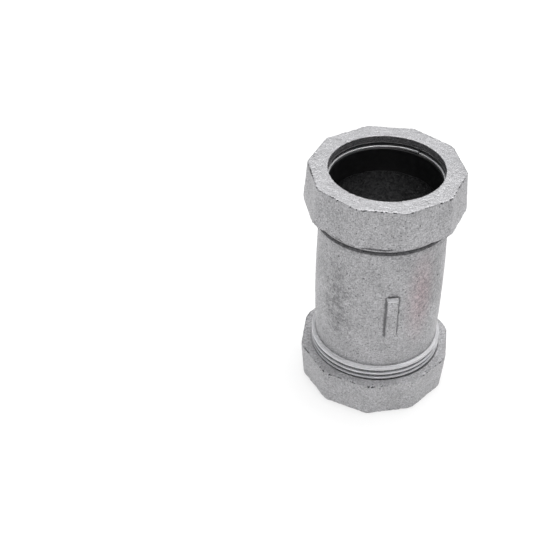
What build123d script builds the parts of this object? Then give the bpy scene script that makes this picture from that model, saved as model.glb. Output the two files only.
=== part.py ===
"""Long-pattern compression coupling that joins two plain pipe ends of 60.3 mm outside diameter.

Frame: millimetres, +Z up along the pipe axis. The origin is the centre of the lower end face, on which
the coupling stands. Both ends are made alike, and each is worked out from its own plane, whose z
direction points inwards: a nut, ring or gasket height is measured from that nut's outer face, a body
height from that end of the body, and an angle is a turn about the inward axis. The lower nut is
screwed further on than the upper one.
"""

import os
from math import cos, radians, sin

from build123d import *

os.makedirs("parts", exist_ok=True)

# ---- driving dimensions ----------------------------------------------------------------------------
overall_length = 142.0

# compression nuts
nut_sides = 10
nut_height = 22.9
nut_outer_corner_radius = 42.7
nut_inner_corner_radius = 44.5
nut_corner_cone_radius = 43.7
nut_corner_cone_height = 2.0
nut_lip_thickness = 4.6
nut_lip_bore_radius = 31.0
nut_lip_break = 0.5
nut_mouth_overcut = 0.2
nut_turn = 10.6

# thread, the same on both ends and right-handed
thread_pitch = 3.175
thread_root_radius = 35.6
thread_crest_radius = 37.3
thread_root_width = 2.5
thread_crest_width = 0.6
thread_clearance = 0.25
thread_relief_end = 10.4
thread_relief_depth = 0.4
thread_plug_span = (9.0, 24.0)

# body
body_insets = {"lower": 7.3, "upper": 9.5575}
body_bore_radius = 31.3
ridge_start = -1.85
groove_end = 21.6
ledge_height = 23.9
ledge_bevel = 0.5
neck_radius = 35.2
neck_rise = 0.3
waist_radius = 36.2
recess_depth = 13.65
recess_mouth_radius = 34.2
recess_seat_radius = 32.8

# gaskets and the steel rings that press on them
ring_starts = {"lower": 4.65, "upper": 6.5}
ring_thickness = 1.3
ring_inner_radius = 30.9
ring_outer_radius = 35.4
ring_split_width = 0.9
ring_split_angles = {"lower": 128.5, "upper": -51.5}
gasket_height = 15.0
gasket_inner_radius = 30.25
gasket_straight_height = 1.35
gasket_play = 0.05
gasket_bevel = (0.3, 0.6)

# cast lugs, just below the middle of the barrel
lug_angle = -82.5
lug_drop = 1.4
lug_base = (8.6, 29.5)
lug_top = (6.6, 27.0)
lug_root_radius = 34.4
lug_top_radius = 38.5

# ---- values that follow from them ------------------------------------------------------------------
body_half_length = (overall_length - body_insets["lower"] - body_insets["upper"]) / 2
body_middle_height = body_insets["lower"] + body_half_length
flank_slope = (thread_root_width - thread_crest_width) / 2 / (thread_crest_radius - thread_root_radius)
nut_minor_radius = thread_root_radius + thread_clearance
nut_major_radius = thread_crest_radius + thread_clearance
nut_rough_bore_radius = nut_minor_radius - 0.6

# each end's outer face, with z inwards, and the section plane in which y runs inwards from that face
end_planes = {
    "lower": Plane(origin=(0, 0, 0), x_dir=(1, 0, 0), z_dir=(0, 0, 1)),
    "upper": Plane(origin=(0, 0, overall_length), x_dir=(1, 0, 0), z_dir=(0, 0, -1)),
}
section_planes = {
    "lower": Plane(origin=(0, 0, 0), x_dir=(1, 0, 0), z_dir=(0, -1, 0)),
    "upper": Plane(origin=(0, 0, overall_length), x_dir=(1, 0, 0), z_dir=(0, 1, 0)),
}


def helical_bar(start, length, inner_radius, outer_radius, inner_width, outer_width):
    """A trapezium swept along a right-handed helix about Z; start and length are of its middle line."""
    with BuildPart() as bar:
        with BuildLine() as helix:
            Helix(thread_pitch, length, inner_radius, center=(0, 0, start))
        first = helix.line @ 0
        outwards = Vector(first.X, first.Y, 0).normalized()
        with BuildSketch(Plane(origin=first, x_dir=outwards, z_dir=helix.line % 0)):
            with BuildLine():
                Polyline(
                    (0, -inner_width / 2),
                    (outer_radius - inner_radius, -outer_width / 2),
                    (outer_radius - inner_radius, outer_width / 2),
                    (0, inner_width / 2),
                    close=True,
                )
            make_face()
        sweep(path=helix.line, is_frenet=True)
    return bar.part


def ridge_width(radius):
    """Axial width of the male thread's ridge at a radius."""
    return thread_root_width - 2 * flank_slope * (radius - thread_root_radius)


# ---- body: cast barrel with a male thread, a ledge and a tapered gasket recess at each end ----------
groove_start = ridge_start - thread_pitch / 2
groove_outer = thread_crest_radius + 0.2

# one half: from an end face to the middle, with the thread's groove, which stops short of the ledge
with BuildPart() as half_barrel:
    with BuildSketch(section_planes["lower"]):
        with BuildLine():
            outline = [
                (body_bore_radius, body_half_length),
                (body_bore_radius, recess_depth),
                (recess_seat_radius, recess_depth),
                (recess_mouth_radius, 0),
                (thread_root_radius, 0),
                (thread_crest_radius, thread_crest_radius - thread_root_radius),
                (thread_crest_radius, ledge_height - ledge_bevel),
                (thread_crest_radius - ledge_bevel, ledge_height),
                (neck_radius, ledge_height + neck_rise),
            ]
            Polyline(outline)
            TangentArc((waist_radius, body_half_length), outline[-1], tangent=(0, -1))
            Line((waist_radius, body_half_length), outline[0])
        make_face()
    revolve(axis=Axis.Z)
    groove = helical_bar(
        start=groove_start,
        length=groove_end - groove_start,
        inner_radius=thread_root_radius,
        outer_radius=groove_outer,
        inner_width=thread_pitch - ridge_width(thread_root_radius),
        outer_width=thread_pitch - ridge_width(groove_outer),
    )
    add(groove, mode=Mode.SUBTRACT)

with BuildPart() as body:
    for end, end_plane in end_planes.items():
        add(end_plane.offset(body_insets[end]).location * half_barrel.part)

    # lugs, one on each side, with drafted flanks
    for angle in (radians(lug_angle), radians(lug_angle + 180)):
        lug_plane = Plane(
            origin=(0, 0, body_middle_height - lug_drop),
            x_dir=(-sin(angle), cos(angle), 0),
            z_dir=(cos(angle), sin(angle), 0),
        )
        with BuildSketch(lug_plane.offset(lug_root_radius)):
            RectangleRounded(*lug_base, radius=1.2)
        with BuildSketch(lug_plane.offset(lug_top_radius)):
            RectangleRounded(*lug_top, radius=0.9)
        loft()
body.part.label = "body"
export_step(body.part, "parts/body.step")

# ---- compression nut, as it sits on the lower end ----------------------------------------------------
plug_start, plug_end = thread_plug_span
plug_groove_start = (body_insets["lower"] + ridge_start) % thread_pitch + thread_pitch / 2
plug_groove_outer = nut_major_radius + 0.2

# the space inside the nut's thread: like the male thread, but larger by the clearance
with BuildPart() as plug:
    with Locations((0, 0, (plug_start + plug_end) / 2)):
        Cylinder(nut_major_radius, plug_end - plug_start)
    plug_groove = helical_bar(
        start=plug_groove_start,
        length=plug_end + 2.5 - plug_groove_start,
        inner_radius=nut_minor_radius,
        outer_radius=plug_groove_outer,
        inner_width=thread_pitch - ridge_width(nut_minor_radius) - 2 * thread_clearance,
        outer_width=thread_pitch - ridge_width(plug_groove_outer) - 2 * thread_clearance,
    )
    add(plug_groove, mode=Mode.SUBTRACT)

with BuildPart() as nut:
    with BuildSketch(Plane.XY):
        RegularPolygon(nut_outer_corner_radius, nut_sides, rotation=nut_turn)
    with BuildSketch(Plane.XY.offset(nut_height)):
        RegularPolygon(nut_inner_corner_radius, nut_sides, rotation=nut_turn)
    loft(ruled=True)

    # the corners are turned down to a cone at the threaded end
    with BuildSketch(section_planes["lower"]):
        with BuildLine():
            Polyline(
                (0, -1),
                (nut_inner_corner_radius + 1, -1),
                (nut_inner_corner_radius + 1, nut_height - nut_corner_cone_height),
                (nut_corner_cone_radius, nut_height),
                (0, nut_height),
                close=True,
            )
        make_face()
    revolve(axis=Axis.Z, mode=Mode.INTERSECT)

    # bore through the lip, thread relief behind it, rough bore and the countersink at the mouth
    relief_radius = nut_major_radius + thread_relief_depth
    mouth_radius = nut_major_radius + nut_mouth_overcut
    with BuildSketch(section_planes["lower"]):
        with BuildLine():
            Polyline(
                (0, -1),
                (nut_lip_bore_radius + nut_lip_break, -1),
                (nut_lip_bore_radius + nut_lip_break, 0),
                (nut_lip_bore_radius, nut_lip_break),
                (nut_lip_bore_radius, nut_lip_thickness),
                (relief_radius, nut_lip_thickness),
                (relief_radius, thread_relief_end),
                (nut_rough_bore_radius, thread_relief_end),
                (nut_rough_bore_radius, nut_height - mouth_radius + nut_rough_bore_radius),
                (mouth_radius, nut_height),
                (mouth_radius, nut_height + 1),
                (0, nut_height + 1),
                close=True,
            )
        make_face()
    revolve(axis=Axis.Z, mode=Mode.SUBTRACT)
    add(plug.part, mode=Mode.SUBTRACT)

# ---- nuts, rings and gaskets: one set at each end -----------------------------------------------------
for end, end_plane in end_planes.items():
    # the thread turns a nut as it is backed off from where the lower one stands
    back_off = body_insets[end] - body_insets["lower"]
    placed_nut = end_plane.location * Rot(0, 0, -360 * back_off / thread_pitch) * nut.part
    placed_nut.label = f"{end}_nut"
    export_step(placed_nut, f"parts/{end}_nut.step")

    with BuildPart() as ring:
        with BuildSketch(end_plane.offset(ring_starts[end])):
            Circle(ring_outer_radius)
            Circle(ring_inner_radius, mode=Mode.SUBTRACT)
            with PolarLocations(ring_outer_radius, 1, start_angle=ring_split_angles[end]):
                Rectangle(ring_outer_radius, ring_split_width, mode=Mode.SUBTRACT)
        extrude(amount=ring_thickness)
    ring.part.label = f"{end}_retainer_ring"
    export_step(ring.part, f"parts/{end}_retainer_ring.step")

    with BuildPart() as gasket:
        with BuildSketch(section_planes[end]):
            with BuildLine():
                gasket_start = ring_starts[end] + ring_thickness
                gasket_end = gasket_start + gasket_height
                mouth = recess_mouth_radius - gasket_play
                Polyline(
                    (gasket_inner_radius, gasket_start),
                    (mouth - gasket_bevel[0], gasket_start),
                    (mouth, gasket_start + gasket_bevel[1]),
                    (mouth, gasket_start + gasket_straight_height),
                    (recess_seat_radius - gasket_play, gasket_end),
                    (gasket_inner_radius, gasket_end),
                    close=True,
                )
            make_face()
        revolve(axis=Axis.Z)
    gasket.part.label = f"{end}_gasket"
    export_step(gasket.part, f"parts/{end}_gasket.step")
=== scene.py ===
"""Looks for the long-pattern compression coupling: cast galvanised iron, steel rings and rubber gaskets.

Every piece is a grid that runs once round its cross-section (rows) and once round the pipe axis (columns).
Shapes are worked out in millimetres in an end's own frame, where z is the height inwards from that nut's
outer face, or from that end of the body, then turned into the row frame and scaled to metres.
"""

import bpy
import numpy as np
from mathutils import Matrix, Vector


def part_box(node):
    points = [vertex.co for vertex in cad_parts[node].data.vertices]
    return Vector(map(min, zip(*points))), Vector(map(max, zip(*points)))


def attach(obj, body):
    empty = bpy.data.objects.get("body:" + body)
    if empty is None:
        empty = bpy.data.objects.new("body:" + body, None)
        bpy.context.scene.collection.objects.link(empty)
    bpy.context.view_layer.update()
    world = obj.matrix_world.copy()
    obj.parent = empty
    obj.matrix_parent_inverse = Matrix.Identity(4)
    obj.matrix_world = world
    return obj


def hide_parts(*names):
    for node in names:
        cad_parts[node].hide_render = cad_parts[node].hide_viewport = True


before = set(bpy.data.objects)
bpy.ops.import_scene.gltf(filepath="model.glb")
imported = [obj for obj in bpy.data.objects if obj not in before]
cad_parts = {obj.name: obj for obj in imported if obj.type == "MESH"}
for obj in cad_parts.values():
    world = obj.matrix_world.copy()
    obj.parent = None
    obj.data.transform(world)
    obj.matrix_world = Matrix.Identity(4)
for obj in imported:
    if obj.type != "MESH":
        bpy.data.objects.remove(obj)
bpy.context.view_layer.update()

MM = 0.001


# ---- sizes read from the frame, in millimetres ---------------------------------------------------
def node_box(node):
    """Lowest and highest corner of a CAD node, in millimetres."""
    low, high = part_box(node)
    return np.array(low) / MM, np.array(high) / MM


nut_low, nut_high = node_box("lower_nut")
upper_high = node_box("upper_nut")[1]
body_low, body_high = node_box("body")
LENGTH = float(upper_high[2])
NUT_HEIGHT = float(nut_high[2] - nut_low[2])
BODY_LENGTH = float(body_high[2] - body_low[2])
BODY_MIDDLE = float(body_high[2] + body_low[2]) / 2
BODY_INSETS = {"lower": float(body_low[2]), "upper": LENGTH - float(body_high[2])}


def end_span(node, end):
    """Heights of a node's outer and inner face from its end's outer face."""
    low, high = node_box(node)
    if end == "lower":
        return float(low[2]), float(high[2])
    return LENGTH - float(high[2]), LENGTH - float(low[2])


# ---- sizes that the boxes don't give, as in the CAD model ----------------------------------------
NUT_SIDES = 10
NUT_TURN = np.radians(10.6)
NUT_OUTER_CORNER, NUT_INNER_CORNER = 42.7, 44.5
NUT_CONE = 43.7
LIP_BORE, LIP_THICKNESS = 31.0, 4.6
PITCH = 3.175
ROOT, CREST = 35.6, 37.3
ROOT_WIDTH, CREST_WIDTH = 2.5, 0.6
CLEARANCE = 0.25
RIDGE_START, GROOVE_END = -1.85, 21.6
RELIEF_END, RELIEF_DEPTH = 10.4, 0.4
MOUTH_OVERCUT = 0.2
LEDGE_HEIGHT, LEDGE_BEVEL = 23.9, 0.5
NECK_RISE, NECK, WAIST = 0.3, 35.2, 36.2
BORE = 31.3
RECESS_DEPTH, RECESS_MOUTH, RECESS_SEAT = 13.65, 34.2, 32.8
GASKET_BORE, GASKET_STRAIGHT, GASKET_PLAY = 30.25, 1.35, 0.05
RING_OUTER, RING_SPLIT_WIDTH = 35.4, 0.9
RING_SPLITS = {"lower": 128.5, "upper": -51.5}
LUG_ANGLE, LUG_DROP = -82.5, 1.4
LUG_TOP = 38.5

# ---- sizes that only the looks have --------------------------------------------------------------
# the ring reaches further in than the CAD one, so that its edge shows beside the lip
RING_INNER = 30.6
# a lug's outline, about half way up its drafted sides
LUG_WIDTH, LUG_LENGTH = 7.6, 28.2
CAST_DEPTH = 0.42
PIT_DEPTH = 0.35
CORNER_BLUNTING, CORNER_REACH = 0.30, 0.8
LIP_RIPPLE, LIP_RIPPLE_PITCH = 0.10, 1.15
RING_SPRING = 0.45
LUG_ROUNDING, LUG_FLANK, LUG_END_FACE = 1.6, 1.15, 1.7
# the body's thread is hidden in its nut up to here, so its rows are further apart
COVERED_THREAD = 10.0


# ---- numbers -------------------------------------------------------------------------------------
def smooth_noise(points, cell, seed):
    """Value noise from -1 to 1, the same for the same seed, on points of any shape ending in 3."""
    place = points / cell
    base = np.floor(place).astype(np.int64)
    inside = place - base
    inside = inside * inside * (3 - 2 * inside)
    total = np.zeros(points.shape[:-1])
    for corner in np.ndindex(2, 2, 2):
        key = base + np.array(corner)
        mixed = key[..., 0] * 374761393 + key[..., 1] * 668265263 + key[..., 2] * 974634777 + seed * 362437
        mixed = (mixed ^ (mixed >> 13)) * 1274126177
        value = ((mixed ^ (mixed >> 16)) & 0xFFFF) / 32767.5 - 1
        share = np.prod([inside[..., k] if corner[k] else 1 - inside[..., k] for k in range(3)], axis=0)
        total += value * share
    return total


def ease(value):
    """Smooth step from 0 to 1 of a value clipped to that range."""
    value = np.clip(value, 0, 1)
    return value * value * (3 - 2 * value)


def columns(dense_angles, dense_reach, dense_step, step, radius):
    """Angles round the axis, in radians, closer together within dense_reach mm of the dense angles."""
    count = 4096
    angles = np.arange(count) * 2 * np.pi / count
    away = np.full(count, 1e9)
    for dense in dense_angles:
        gap = (angles - dense + np.pi) % (2 * np.pi) - np.pi
        away = np.minimum(away, np.abs(gap) * radius)
    spacing = np.where(away < dense_reach, dense_step, step)
    travelled = np.cumsum(2 * np.pi * radius / count / spacing)
    wanted = int(round(travelled[-1]))
    targets = (np.arange(wanted) + 0.5) * travelled[-1] / wanted
    return np.interp(targets, travelled, angles)


def steps(start, stop, step):
    """Evenly spaced values from start up to, but not including, stop."""
    count = max(1, int(np.ceil(abs(stop - start) / step)))
    return start + (stop - start) * np.arange(count) / count


# ---- threads -------------------------------------------------------------------------------------
def ridge_share(theta, z):
    """How far up the male ridge's flank a body point is: 0 in the root, 1 on the crest, and past both."""
    turns = (z - RIDGE_START) / PITCH - theta / (2 * np.pi)
    off = np.abs((turns + 0.5) % 1 - 0.5) * PITCH
    return (ROOT_WIDTH / 2 - off) / ((ROOT_WIDTH - CREST_WIDTH) / 2)


def male_radius(theta, z):
    """Radius of the body's thread, whose groove fades out just before the ledge."""
    groove_start = RIDGE_START - PITCH / 2
    turn = np.round((z - groove_start) / PITCH - theta / (2 * np.pi))
    middle_height = groove_start + PITCH * (turn + theta / (2 * np.pi))
    faded = ease((middle_height - GROOVE_END) / (0.06 * PITCH))
    share = np.maximum(ease(ridge_share(theta, z)), faded)
    return np.minimum(ROOT + (CREST - ROOT) * share, ROOT + z)


def female_radius(theta, z):
    """Radius of the nut's thread, in the lower nut's frame: the male one with clearance."""
    slope = (CREST - ROOT) / ((ROOT_WIDTH - CREST_WIDTH) / 2)
    share = ridge_share(theta, z - BODY_INSETS["lower"]) + CLEARANCE * slope / (CREST - ROOT)
    return ROOT + CLEARANCE + (CREST - ROOT) * np.clip(share, 0, 1)


# ---- grids ---------------------------------------------------------------------------------------
def to_row_frame(points, end):
    """End frame to row frame: the upper end is the lower one turned half round about X."""
    if end == "lower":
        return points
    return points * np.array([1, -1, -1]) + np.array([0, 0, LENGTH])


def nut_to_row_frame(points, end):
    """Lower nut's frame to row frame: a nut turns on its thread as it is backed off."""
    turn = -2 * np.pi * (BODY_INSETS[end] - BODY_INSETS["lower"]) / PITCH
    x, y, z = points[..., 0], points[..., 1], points[..., 2]
    turned = (x * np.cos(turn) - y * np.sin(turn), x * np.sin(turn) + y * np.cos(turn), z)
    return to_row_frame(np.stack(turned, axis=-1), end)


def outward_normals(points):
    """Unit normals of a closed grid that point out of its material."""
    along = np.roll(points, -1, axis=0) - np.roll(points, 1, axis=0)
    around = np.roll(points, -1, axis=1) - np.roll(points, 1, axis=1)
    normals = np.cross(around, along)
    normals /= np.maximum(np.linalg.norm(normals, axis=-1, keepdims=True), 1e-12)
    if grid_volume(points + normals * 1e-3) < grid_volume(points):
        return -normals
    return normals


def roughen(points, weights, seed):
    """Sinks a cast surface by up to CAST_DEPTH in lumps of several sizes; weights is one per row."""
    lumps = (
        0.34 * smooth_noise(points, 9.0, seed)
        + 0.28 * smooth_noise(points, 3.1, seed + 1)
        + 0.38 * smooth_noise(points, 1.2, seed + 2)
    )
    depth = (0.5 + 0.5 * lumps) * CAST_DEPTH
    return points - outward_normals(points) * (depth * weights[:, None])[..., None]


def grid_volume(points):
    """Volume inside a closed grid, whichever way round it runs."""
    a, b = points, np.roll(points, -1, axis=0)
    c, d = np.roll(points, (-1, -1), axis=(0, 1)), np.roll(points, -1, axis=1)
    one = np.einsum("ijk,ijk->", a, np.cross(b, c))
    two = np.einsum("ijk,ijk->", a, np.cross(c, d))
    return abs(one + two) / 6


def dent(points, pits, centres, sizes):
    """Pushes small round pits into a grid, and adds to pits how deep in one each point is."""
    normals = outward_normals(points)
    depth = np.zeros(points.shape[:2])
    for centre, size in zip(centres, sizes):
        away = np.linalg.norm(points - centre, axis=-1) / size
        near = np.exp(-(away**2) * 1.6)
        depth = np.maximum(depth, near * size * PIT_DEPTH)
        pits[:] = np.maximum(pits, np.where(away < 2.5, near, 0))
    return points - normals * depth[..., None]


def grid_object(name, points, layers=None, dark_rows=None):
    """Mesh object from a closed grid of points in millimetres; layers holds values for the materials."""
    rows, cols = points.shape[:2]
    index = np.arange(rows * cols).reshape(rows, cols)
    below, beside = np.roll(index, -1, axis=0), np.roll(index, -1, axis=1)
    corner = np.roll(below, -1, axis=1)
    quads = np.stack([index, beside, corner, below], axis=-1).reshape(-1, 4)
    a, b, c, d = (points.reshape(-1, 3)[quads[:, k]] for k in range(4))
    if np.sum(a * (np.cross(b, c) + np.cross(c, d))) < 0:
        quads = quads[:, ::-1]
    mesh = bpy.data.meshes.new(name)
    mesh.vertices.add(rows * cols)
    mesh.vertices.foreach_set("co", (points * MM).astype(np.float32).ravel())
    mesh.loops.add(quads.size)
    mesh.loops.foreach_set("vertex_index", quads.astype(np.int32).ravel())
    mesh.polygons.add(len(quads))
    mesh.polygons.foreach_set("loop_start", np.arange(0, quads.size, 4, dtype=np.int32))
    mesh.polygons.foreach_set("loop_total", np.full(len(quads), 4, dtype=np.int32))
    if dark_rows is not None:
        slots = np.repeat(dark_rows.astype(np.int32), cols)
        mesh.polygons.foreach_set("material_index", slots)
    mesh.update(calc_edges=True)
    mesh.validate()
    mesh.shade_smooth()
    for layer_name, values in (layers or {}).items():
        layer = mesh.attributes.new(layer_name, "FLOAT", "POINT")
        layer.data.foreach_set("value", values.astype(np.float32).ravel())
    piece = bpy.data.objects.new(name, mesh)
    bpy.context.scene.collection.objects.link(piece)
    return piece


# ---- nuts ----------------------------------------------------------------------------------------
def decagon(theta, z):
    """Radius of a nut's ten-sided outline, with blunted corners that lean outwards with height."""
    corner = NUT_OUTER_CORNER + (NUT_INNER_CORNER - NUT_OUTER_CORNER) * z / NUT_HEIGHT
    half = np.pi / NUT_SIDES
    from_flat = (theta - NUT_TURN) % (2 * half) - half
    radius = corner * np.cos(half) / np.cos(from_flat)
    to_corner = (half - np.abs(from_flat)) * corner
    return radius - CORNER_BLUNTING * np.exp(-((to_corner / CORNER_REACH) ** 2))


def nut_grid(seed):
    """Points, cast weights and tone of a compression nut."""
    corners = NUT_TURN + np.arange(NUT_SIDES) * 2 * np.pi / NUT_SIDES
    theta = columns(corners, 1.8, 0.3, 0.75, NUT_INNER_CORNER)
    ring = np.stack([np.cos(theta), np.sin(theta), np.zeros_like(theta)], axis=-1) * NUT_INNER_CORNER

    def outline(z):
        return np.minimum(decagon(theta, z), NUT_CONE + (NUT_HEIGHT - z) * 0.9)

    wear = 0.55 + 0.25 * smooth_noise(ring, 6.0, seed) + 0.2 * smooth_noise(ring, 1.7, seed + 1)
    mouth_wear = 0.6 + 0.25 * smooth_noise(ring, 5.0, seed + 2) + 0.25 * smooth_noise(ring, 1.6, seed + 3)
    lip_wear = 0.45 + 0.2 * smooth_noise(ring, 4.0, seed + 4) + 0.2 * smooth_noise(ring, 1.5, seed + 5)
    rows = []

    def row(radius, z, cast, tone=0.0):
        rows.append((radius + 0 * theta, z + 0 * theta, cast, tone + 0 * theta))

    # outer end face, from the lip's bore to the outside edge, painted lighter as a highlight
    inner_edge = LIP_BORE + lip_wear
    outer_edge = outline(0) - wear
    for share in np.append(steps(0, 0.93, 0.055), (0.95, 0.98)):
        row(inner_edge + share * (outer_edge - inner_edge), 0, 0.75, 0.24)
    for angle in np.radians((0, 25, 50, 75, 90)):
        row(outline(0) - wear + wear * np.sin(angle), wear - wear * np.cos(angle), 0.8, -0.22)
    # flanks
    for share in steps(0.02, 0.99, 0.03):
        z = wear + share * (NUT_HEIGHT - wear - mouth_wear)
        row(outline(z), z, 1.0)
    # threaded end, whose flat face is painted a little lighter as a highlight
    rim = outline(NUT_HEIGHT)
    for angle in np.radians((0, 25, 50, 75, 90)):
        height = NUT_HEIGHT - mouth_wear + mouth_wear * np.sin(angle)
        row(rim - mouth_wear + mouth_wear * np.cos(angle), height, 0.9, -0.15)
    mouth = CREST + CLEARANCE + MOUTH_OVERCUT
    for share in steps(0.96, 0.06, 0.1):
        row(mouth + share * (rim - mouth_wear - mouth), NUT_HEIGHT, 0.9, 0.12)
    # countersink, thread, relief, lip and bore; the thread, relief and lip step are painted darker as shade
    # inside the nut, and the lip's bore is painted shade with painted highlights on its turned ripples
    countersink = mouth - ROOT - CLEARANCE
    for share in (0, 0.35, 0.7):
        row(mouth + share * (ROOT + CLEARANCE - mouth), NUT_HEIGHT - share * countersink, 0.3 * (1 - share))
    for z in steps(NUT_HEIGHT - countersink, RELIEF_END, 0.2):
        row(female_radius(theta, z), z, 0, -0.3)
    relief = CREST + CLEARANCE + RELIEF_DEPTH
    for z in steps(RELIEF_END, LIP_THICKNESS, 1.0):
        row(relief, z, 0, -0.6)
    for radius in steps(relief, LIP_BORE + 0.2, 1.3):
        row(radius, LIP_THICKNESS, 0.2, -0.6)
    for z in steps(LIP_THICKNESS - 0.2, 0.35, 0.22):
        wave = np.sin(z * 2 * np.pi / LIP_RIPPLE_PITCH)
        row(LIP_BORE + LIP_RIPPLE + LIP_RIPPLE * wave, z, 0.6, -0.12 + 0.35 * wave)
    row(LIP_BORE + 0.3 * lip_wear, 0.12, 0.6, -0.1)

    radii, heights, tone = (np.array([entry[k] for entry in rows]) for k in (0, 1, 3))
    weights = np.array([entry[2] for entry in rows])
    return np.stack([radii * np.cos(theta), radii * np.sin(theta), heights], axis=-1), weights, tone


def nut_pits(seed):
    """Centres and sizes of casting pits: on the two outside edges, the flanks and the outer face."""
    rng = np.random.default_rng(seed)
    centres, sizes = [], []
    for z, count in ((0.2, 90), (NUT_HEIGHT - 0.2, 80)):
        angles = rng.uniform(0, 2 * np.pi, count)
        radius = np.minimum(decagon(angles, z), NUT_CONE) - 0.2
        centres.append(np.stack([radius * np.cos(angles), radius * np.sin(angles), np.full(count, z)], -1))
        sizes.append(rng.uniform(0.35, 0.95, count))
    count = 60
    angles, z = rng.uniform(0, 2 * np.pi, count), rng.uniform(1, NUT_HEIGHT - 1, count)
    radius = decagon(angles, z)
    centres.append(np.stack([radius * np.cos(angles), radius * np.sin(angles), z], -1))
    sizes.append(rng.uniform(0.25, 0.6, count))
    count = 40
    angles = rng.uniform(0, 2 * np.pi, count)
    radius = rng.uniform(LIP_BORE + 0.2, NUT_OUTER_CORNER - 2, count)
    centres.append(np.stack([radius * np.cos(angles), radius * np.sin(angles), np.zeros(count)], -1))
    sizes.append(rng.uniform(0.25, 0.55, count))
    return np.concatenate(centres), np.concatenate(sizes)


def make_nut(end, seed):
    points, weights, tone = nut_grid(seed)
    points = roughen(points, weights, seed)
    pits = np.zeros(points.shape[:2])
    centres, sizes = nut_pits(seed)
    points = nut_to_row_frame(dent(points, pits, centres, sizes), end)
    return grid_object(f"{end}_nut_cast", points, {"pits": pits, "tone": tone})


# ---- body ----------------------------------------------------------------------------------------
def barrel_radius(z):
    """Outside radius of the barrel between its necks, an arc that is widest in the middle."""
    half = BODY_LENGTH / 2 - LEDGE_HEIGHT - NECK_RISE
    arc = (half**2 + (WAIST - NECK) ** 2) / (2 * (WAIST - NECK))
    off = np.clip(np.abs(z - BODY_MIDDLE), 0, half)
    return WAIST - arc + np.sqrt(arc**2 - off**2)


def lug_shape(theta, z, base):
    """How far the two cast lugs stand out of the barrel at a point, and how near their outline it is."""
    shape = np.broadcast(theta, z).shape
    rise, crease = np.zeros(shape), np.zeros(shape)
    for side in (0, 180):
        gap = (theta - np.radians(LUG_ANGLE + side) + np.pi) % (2 * np.pi) - np.pi
        across = np.abs(gap) * base - LUG_WIDTH / 2
        along = np.abs(z - BODY_MIDDLE + LUG_DROP) - LUG_LENGTH / 2
        past_side = np.maximum(across + LUG_ROUNDING, 0)
        past_end = np.maximum(along + LUG_ROUNDING, 0)
        outside = np.hypot(past_side, past_end) - LUG_ROUNDING
        inside = np.maximum(outside, np.maximum(across, along))
        flank = ease(-inside / LUG_FLANK)
        rise = np.maximum(rise, (LUG_TOP - base) * flank)
        crease = np.maximum(crease, np.exp(-(((inside + 0.15) / 0.55) ** 2)))
    return rise, crease


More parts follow.
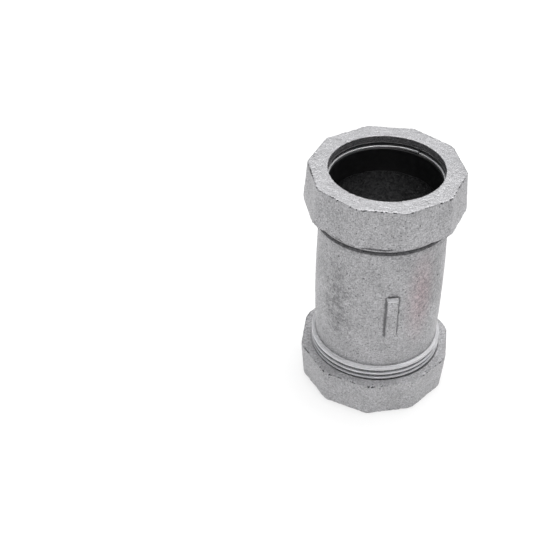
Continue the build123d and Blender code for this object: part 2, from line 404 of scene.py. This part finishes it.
def body_grid():
    """Points, cast weights, bore rows and tone of the body."""
    lugs = np.radians([LUG_ANGLE, LUG_ANGLE + 180])
    theta = columns(lugs, 5.5, 0.35, 1.15, WAIST)
    rows = []

    def row(radius, z, cast, bore=False, tone=0.0):
        rows.append((radius + 0 * theta, z + 0 * theta, cast, bore, tone + 0 * theta))

    # outside of one end, from its face to its neck: radius (None on the thread), height and cast weight
    face_radii = (RECESS_MOUTH + 0.1, (RECESS_MOUTH + ROOT) / 2, ROOT - 0.1)
    outside = [(radius, 0.0, 0) for radius in face_radii]
    outside += [(None, z, 0) for z in steps(0.1, COVERED_THREAD, 0.26)]
    outside += [(None, z, 0) for z in steps(COVERED_THREAD, LEDGE_HEIGHT - LEDGE_BEVEL, 0.22)]
    for angle in np.radians((0, 22, 45, 68, 90)):
        radius = CREST - LEDGE_BEVEL * (1 - np.cos(angle))
        outside.append((radius, LEDGE_HEIGHT - LEDGE_BEVEL * (1 - np.sin(angle)), 0.7))
    shoulder = CREST - LEDGE_BEVEL
    for share in steps(0.2, 1.0, 0.2):
        outside.append((shoulder + share * (NECK - shoulder), LEDGE_HEIGHT + share * NECK_RISE, 0.9))

    low_end, high_end = BODY_MIDDLE - BODY_LENGTH / 2, BODY_MIDDLE + BODY_LENGTH / 2
    for radius, z, cast in outside:
        row(male_radius(theta, z) if radius is None else radius, low_end + z, cast)
    neck = LEDGE_HEIGHT + NECK_RISE
    lug_edges = BODY_MIDDLE - LUG_DROP + np.array([-LUG_LENGTH / 2, LUG_LENGTH / 2])
    z = low_end + neck
    while z < high_end - neck:
        base = barrel_radius(z)
        rise, crease = lug_shape(theta, z, base)
        # painted highlight on each lug's upper end face and painted shade along its outline
        top_face = (rise > 0.15) & (z > lug_edges[1] - LUG_END_FACE)
        row(base + rise, z, 1, tone=np.where(top_face, 0.9, -1.2 * crease))
        z += 0.4 if np.min(np.abs(lug_edges - z)) < 2.2 else 0.85
    for radius, z, cast in reversed(outside):
        row(male_radius(-theta, z) if radius is None else radius, high_end - z, cast)

    # inside, from the upper end to the lower: gasket recess, step, bore, step, recess; the bore's rows take
    # the second material, painted shade
    for share in (0, 0.5, 1):
        row(RECESS_MOUTH + share * (RECESS_SEAT - RECESS_MOUTH), high_end - share * RECESS_DEPTH, 0)
    for radius in (RECESS_SEAT - 0.5, BORE + 0.5):
        row(radius, high_end - RECESS_DEPTH, 0)
    row(BORE, high_end - RECESS_DEPTH - 0.4, 0.2, True)
    for z in steps(high_end - RECESS_DEPTH - 1.0, low_end + RECESS_DEPTH + 1.0, 2.2):
        row(BORE, z, 0.3, True)
    row(BORE, low_end + RECESS_DEPTH + 0.4, 0.2, True)
    for radius in (BORE + 0.5, RECESS_SEAT - 0.5):
        row(radius, low_end + RECESS_DEPTH, 0)
    for share in (1, 0.5, 0):
        row(RECESS_MOUTH + share * (RECESS_SEAT - RECESS_MOUTH), low_end + share * RECESS_DEPTH, 0)

    radii, heights, tone = (np.array([entry[k] for entry in rows]) for k in (0, 1, 4))
    weights = np.array([entry[2] for entry in rows])
    dark = np.array([entry[3] for entry in rows])
    points = np.stack([radii * np.cos(theta), radii * np.sin(theta), heights], axis=-1)

    # painted highlights on the thread's crests and ledge, painted shade in its roots, and painted shade
    # where the upper nut leaves its end bare
    height = BODY_LENGTH / 2 - np.abs(heights - BODY_MIDDLE)
    outer = radii > ROOT - 0.15
    thread = outer & (height > 0) & (height < LEDGE_HEIGHT - LEDGE_BEVEL)
    tone = np.where(thread, 2.4 * (radii - ROOT) / (CREST - ROOT) - 0.75, tone)
    tone = np.where(outer & (height >= GROOVE_END + 0.8) & (height < neck), 0.75, tone)
    bare = (height > NUT_HEIGHT - BODY_INSETS["upper"]) & (height < neck)
    nut_shade_band = outer & (heights > BODY_MIDDLE) & bare
    tone = np.where(nut_shade_band, np.minimum(tone, 0.0) - 0.35, tone)
    return points, weights, dark, tone


def patch(points, angle, height, width, length):
    """Soft-edged patch on the barrel round an angle in degrees and a height, from 0 to 1."""
    gap = np.arctan2(points[..., 1], points[..., 0]) - np.radians(angle)
    gap = (gap + np.pi) % (2 * np.pi) - np.pi
    return np.exp(-((gap * WAIST / width) ** 2) - ((points[..., 2] - height) / length) ** 2)


def make_body(seed):
    points, weights, dark, tone = body_grid()
    points = roughen(points, weights, seed)
    rng = np.random.default_rng(seed)
    count = 150
    low_edge = BODY_MIDDLE - BODY_LENGTH / 2 + LEDGE_HEIGHT
    angles = rng.uniform(0, 2 * np.pi, count)
    z = rng.uniform(low_edge, 2 * BODY_MIDDLE - low_edge, count)
    centres = np.stack([barrel_radius(z) * np.cos(angles), barrel_radius(z) * np.sin(angles), z], -1)
    pits = np.zeros(points.shape[:2])
    points = dent(points, pits, centres, rng.uniform(0.2, 0.6, count))
    # painted shade on the barrel's front left and front right, the first one blotchy, and a pink blush
    blotches = 1 + 0.5 * smooth_noise(points, 5.0, seed)
    tone -= 0.60 * patch(points, angle=-135.0, height=70.0, width=11.0, length=24.0) * blotches
    tone -= 0.42 * patch(points, angle=-45.0, height=76.0, width=16.0, length=30.0)
    blush = patch(points, angle=-55.0, height=78.0, width=8.0, length=26.0)
    return grid_object("body_cast", points, {"pits": pits, "tone": tone, "blush": blush}, dark)


# ---- rings and gaskets ---------------------------------------------------------------------------
def section_grid(theta, section, end, lift=0.0):
    """Closed grid that carries one section (radius, height) round the angles."""
    section = np.array(section)
    radii = section[:, 0][:, None] + 0 * theta
    heights = section[:, 1][:, None] + lift + 0 * theta
    points = np.stack([radii * np.cos(theta), radii * np.sin(theta), heights], axis=-1)
    return to_row_frame(points, end)


def rounded_section(corners, radius, count=4):
    """Section outline with every corner rounded; corners are (radius, height) in order."""
    corners = [np.array(c, float) for c in corners]
    found = []
    for k, corner in enumerate(corners):
        before, after = corners[k - 1], corners[(k + 1) % len(corners)]
        a = corner + (before - corner) / np.linalg.norm(before - corner) * radius
        b = corner + (after - corner) / np.linalg.norm(after - corner) * radius
        for t in np.linspace(0, 1, count):
            found.append((1 - t) ** 2 * a + 2 * t * (1 - t) * corner + t**2 * b)
    return found


def make_gasket(end):
    start, stop = end_span(f"{end}_gasket", end)
    corners = [
        (GASKET_BORE, start),
        (RECESS_MOUTH - GASKET_PLAY, start),
        (RECESS_MOUTH - GASKET_PLAY, start + GASKET_STRAIGHT),
        (RECESS_SEAT - GASKET_PLAY, stop),
        (GASKET_BORE, stop),
    ]
    theta = np.arange(240) * 2 * np.pi / 240
    points = section_grid(theta, rounded_section(corners, 0.6, 6), end)
    return grid_object(f"{end}_gasket_rubber", points)


def make_ring(end):
    """Ring cut through at one place, where one end springs towards the lip if there's room for it."""
    start, stop = end_span(f"{end}_retainer_ring", end)
    corners = [(RING_INNER, start), (RING_OUTER, start), (RING_OUTER, stop), (RING_INNER, stop)]
    half_split = RING_SPLIT_WIDTH / 2 / RING_OUTER
    away = np.linspace(half_split, 2 * np.pi - half_split, 320)
    sprung = RING_SPRING if start > LIP_THICKNESS + 0.5 else 0.0
    spring = -sprung * np.exp(-((2 * np.pi - away) / 0.5) ** 2)
    theta = np.radians(RING_SPLITS[end]) + away
    points = section_grid(theta, rounded_section(corners, 0.3, 5), end, spring)
    rows, cols = points.shape[:2]
    index = np.arange(rows * cols).reshape(rows, cols)
    below = np.roll(index, -1, axis=0)
    quads = np.stack([index[:, :-1], index[:, 1:], below[:, 1:], below[:, :-1]], axis=-1).reshape(-1, 4)
    faces = quads.tolist() + [index[:, 0].tolist(), index[::-1, -1].tolist()]
    mesh = bpy.data.meshes.new(f"{end}_ring_steel")
    mesh.from_pydata((points * MM).reshape(-1, 3), [], faces)
    mesh.validate()
    mesh.shade_smooth()
    mesh.set_sharp_from_angle(angle=np.radians(60))
    piece = bpy.data.objects.new(mesh.name, mesh)
    bpy.context.scene.collection.objects.link(piece)
    return piece


# ---- materials -----------------------------------------------------------------------------------
class Nodes:
    """Short helpers for one node material."""

    def __init__(self, name):
        self.material = bpy.data.materials.new(name)
        self.material.use_nodes = True
        self.tree = self.material.node_tree
        self.shader = self.tree.nodes["Principled BSDF"]
        self.place = self.new("ShaderNodeTexCoord").outputs["Object"]

    def new(self, kind, **values):
        node = self.tree.nodes.new(kind)
        for key, value in values.items():
            setattr(node, key, value)
        return node

    def link(self, source, target):
        self.tree.links.new(source, target)

    def noise(self, size_mm, detail=3.0, roughness=0.55):
        """Noise of about that feature size."""
        node = self.new("ShaderNodeTexNoise")
        self.link(self.place, node.inputs["Vector"])
        node.inputs["Scale"].default_value = 1 / (size_mm * MM)
        node.inputs["Detail"].default_value = detail
        node.inputs["Roughness"].default_value = roughness
        return node.outputs["Fac"]

    def cells(self, size_mm, output):
        """Cells of about that size: their colour, or the distance from their middle."""
        node = self.new("ShaderNodeTexVoronoi")
        self.link(self.place, node.inputs["Vector"])
        node.inputs["Scale"].default_value = 1 / (size_mm * MM)
        return node.outputs[output]

    def span(self, value, low, high, to_low=0.0, to_high=1.0):
        """Maps low..high of a value to to_low..to_high, clamped."""
        node = self.new("ShaderNodeMapRange")
        self.link(value, node.inputs["Value"])
        node.inputs["From Min"].default_value = low
        node.inputs["From Max"].default_value = high
        node.inputs["To Min"].default_value = to_low
        node.inputs["To Max"].default_value = to_high
        return node.outputs["Result"]

    def math(self, operation, a, b):
        node = self.new("ShaderNodeMath", operation=operation)
        for socket, value in zip(node.inputs, (a, b)):
            if isinstance(value, (int, float)):
                socket.default_value = value
            else:
                self.link(value, socket)
        return node.outputs["Value"]

    def mix(self, share, a, b):
        node = self.new("ShaderNodeMix", data_type="RGBA")
        for name, value in (("Factor", share), ("A", a), ("B", b)):
            socket = [s for s in node.inputs if s.name == name and s.enabled][0]
            if isinstance(value, tuple):
                socket.default_value = (*value, 1.0)
            elif isinstance(value, (int, float)):
                socket.default_value = value
            else:
                self.link(value, socket)
        return [s for s in node.outputs if s.enabled][0]

    def bump(self, height, distance_mm, strength):
        node = self.new("ShaderNodeBump")
        self.link(height, node.inputs["Height"])
        node.inputs["Distance"].default_value = distance_mm * MM
        node.inputs["Strength"].default_value = strength
        self.link(node.outputs["Normal"], self.shader.inputs["Normal"])


def galvanised(name, light, dark):
    """Hot-dip zinc on cast iron: mottling, crystals, coarse grain, dark pits and specks, and painted
    highlights and painted shade from the tone layer.
    """
    n = Nodes(name)
    mottling = n.noise(16.0, 3.0)
    grain = n.noise(0.8, 3.0, 0.7)
    sand = n.noise(1.9, 3.0, 0.7)
    tone = n.new("ShaderNodeAttribute", attribute_name="tone").outputs["Fac"]
    pits = n.new("ShaderNodeAttribute", attribute_name="pits").outputs["Fac"]
    blush = n.new("ShaderNodeAttribute", attribute_name="blush").outputs["Fac"]
    colour = n.mix(n.span(mottling, 0.35, 0.68), light, tuple(0.80 * c for c in light))
    crystal = n.cells(1.3, "Color")
    colour = n.mix(n.span(crystal, 0.2, 0.8, 0.0, 0.22), colour, (0.92, 0.92, 0.95))
    colour = n.mix(n.span(blush, 0.1, 1.0, 0.0, 0.30), colour, (0.78, 0.42, 0.47))
    colour = n.mix(n.span(grain, 0.36, 0.60, 0.58, 0.0), colour, dark)
    colour = n.mix(n.span(n.cells(2.6, "Distance"), 0.09, 0.20, 0.80, 0.0), colour, dark)
    # painted highlight where the tone layer is positive, painted shade where it is negative
    colour = n.mix(n.span(tone, 0.1, 0.9, 0.0, 0.95), colour, (0.95, 0.95, 0.97))
    shade = n.math("ADD", n.math("MULTIPLY", tone, -1.0), n.span(sand, 0.3, 0.7, 0.45, -0.45))
    colour = n.mix(n.span(shade, 0.15, 1.0, 0.0, 0.9), colour, dark)
    ragged = n.math("ADD", pits, n.span(grain, 0.3, 0.7, 0.25, -0.25))
    colour = n.mix(n.span(ragged, 0.24, 0.55, 0.0, 0.95), colour, tuple(0.25 * c for c in dark))
    n.link(colour, n.shader.inputs["Base Color"])
    n.shader.inputs["Metallic"].default_value = 0.6
    n.link(n.span(grain, 0.3, 0.7, 0.60, 0.36), n.shader.inputs["Roughness"])
    height = n.math("ADD", n.math("MULTIPLY", grain, 0.8), n.math("MULTIPLY", sand, 1.0))
    n.bump(height, 0.42, 0.8)
    return n.material


def steel():
    """Zinc plated ring with fine marks round its edge."""
    n = Nodes("zinc_plated_steel")
    marks = n.noise(0.6, 2.0)
    colour = n.mix(n.span(marks, 0.4, 0.65), (0.92, 0.92, 0.93), (0.74, 0.74, 0.76))
    n.link(colour, n.shader.inputs["Base Color"])
    n.shader.inputs["Metallic"].default_value = 0.45
    n.link(n.span(marks, 0.3, 0.7, 0.25, 0.42), n.shader.inputs["Roughness"])
    n.bump(marks, 0.05, 0.3)
    return n.material


def rubber():
    """Matt black moulded rubber with dust in its fine texture."""
    n = Nodes("black_rubber")
    dust = n.noise(3.0, 4.0)
    colour = n.mix(n.span(dust, 0.5, 0.8), (0.010, 0.010, 0.011), (0.026, 0.026, 0.028))
    n.link(colour, n.shader.inputs["Base Color"])
    n.link(n.span(dust, 0.3, 0.7, 0.42, 0.6), n.shader.inputs["Roughness"])
    n.bump(n.noise(0.5), 0.05, 0.3)
    return n.material


# ---- pieces --------------------------------------------------------------------------------------
ZINC, PORE = (0.58, 0.575, 0.59), (0.15, 0.15, 0.155)
zinc = galvanised("galvanised_cast_iron", ZINC, PORE)
# painted shade: a dark copy of the zinc for the bore, standing for the shade deep inside the body
bore_shade_zinc = galvanised("shaded_bore", (0.13, 0.13, 0.135), (0.08, 0.08, 0.08))
steel_finish = steel()
rubber_finish = rubber()


def finish(piece, body, node, slot, *materials):
    """Gives a piece its materials, hangs it on what it rides on and hides the CAD part it stands for."""
    for material in materials:
        piece.data.materials.append(material)
    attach(piece, body)
    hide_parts(node)


finish(make_body(11), "root", "body", "galvanised_iron", zinc, bore_shade_zinc)
for end, seed in (("upper", 21), ("lower", 41)):
    finish(make_nut(end, seed), f"{end}_nut", f"{end}_nut", "galvanised_iron", zinc)
    finish(make_ring(end), f"{end}_ring", f"{end}_retainer_ring", "steel_ring", steel_finish)
    finish(make_gasket(end), "root", f"{end}_gasket", "gasket_rubber", rubber_finish)

# ---- floor, light and camera ---------------------------------------------------------------------
scene = bpy.context.scene
scene.view_settings.view_transform = "Standard"

FLOOR_SIZE, FLOOR_GLOW = 250 * LENGTH * MM, 0.70
WORLD_TINT, WORLD_STRENGTH = (0.95, 0.97, 1.0, 1.0), 0.10
SUN_PLACE, SUN_STRENGTH, SUN_SPREAD = (0.06, 0.06, 1.0), 4.1, 38

bpy.ops.mesh.primitive_plane_add(size=FLOOR_SIZE, location=(0, 0, 0))
floor = bpy.context.object
floor.name = "floor"
paper = Nodes("pale_paper")
paper_grey = paper.mix(paper.noise(400.0), (0.28, 0.28, 0.28), (0.31, 0.31, 0.31))
paper.link(paper_grey, paper.shader.inputs["Base Color"])
paper.shader.inputs["Roughness"].default_value = 0.9
paper.shader.inputs["Emission Color"].default_value = (1.0, 1.0, 1.0, 1.0)
paper.shader.inputs["Emission Strength"].default_value = FLOOR_GLOW
floor.data.materials.append(paper.material)

world = bpy.data.worlds.new("studio")
scene.world = world
world.use_nodes = True
world.node_tree.nodes["Background"].inputs["Color"].default_value = WORLD_TINT
world.node_tree.nodes["Background"].inputs["Strength"].default_value = WORLD_STRENGTH

sun_data = bpy.data.lights.new("overhead", "SUN")
sun_data.energy = SUN_STRENGTH
sun_data.angle = np.radians(SUN_SPREAD)
sun = bpy.data.objects.new("overhead", sun_data)
scene.collection.objects.link(sun)
sun.location = SUN_PLACE
sun.rotation_euler = (-sun.location).to_track_quat("-Z", "Y").to_euler()

CAMERA_PLACE = (-0.05074, -0.49057, 0.46693)
CAMERA_BEARING, CAMERA_DIP, CAMERA_ROLL = -1.52, 38.673, -0.366
CAMERA_LENS = 75.1
camera_data = bpy.data.cameras.new("camera")
camera_data.sensor_width = 36.0
camera_data.lens = CAMERA_LENS
camera = bpy.data.objects.new("camera", camera_data)
scene.collection.objects.link(camera)
camera.matrix_world = (
    Matrix.Translation(CAMERA_PLACE)
    @ Matrix.Rotation(np.radians(-CAMERA_BEARING), 4, "Z")
    @ Matrix.Rotation(np.radians(90 - CAMERA_DIP), 4, "X")
    @ Matrix.Rotation(np.radians(CAMERA_ROLL), 4, "Z")
)
scene.camera = camera
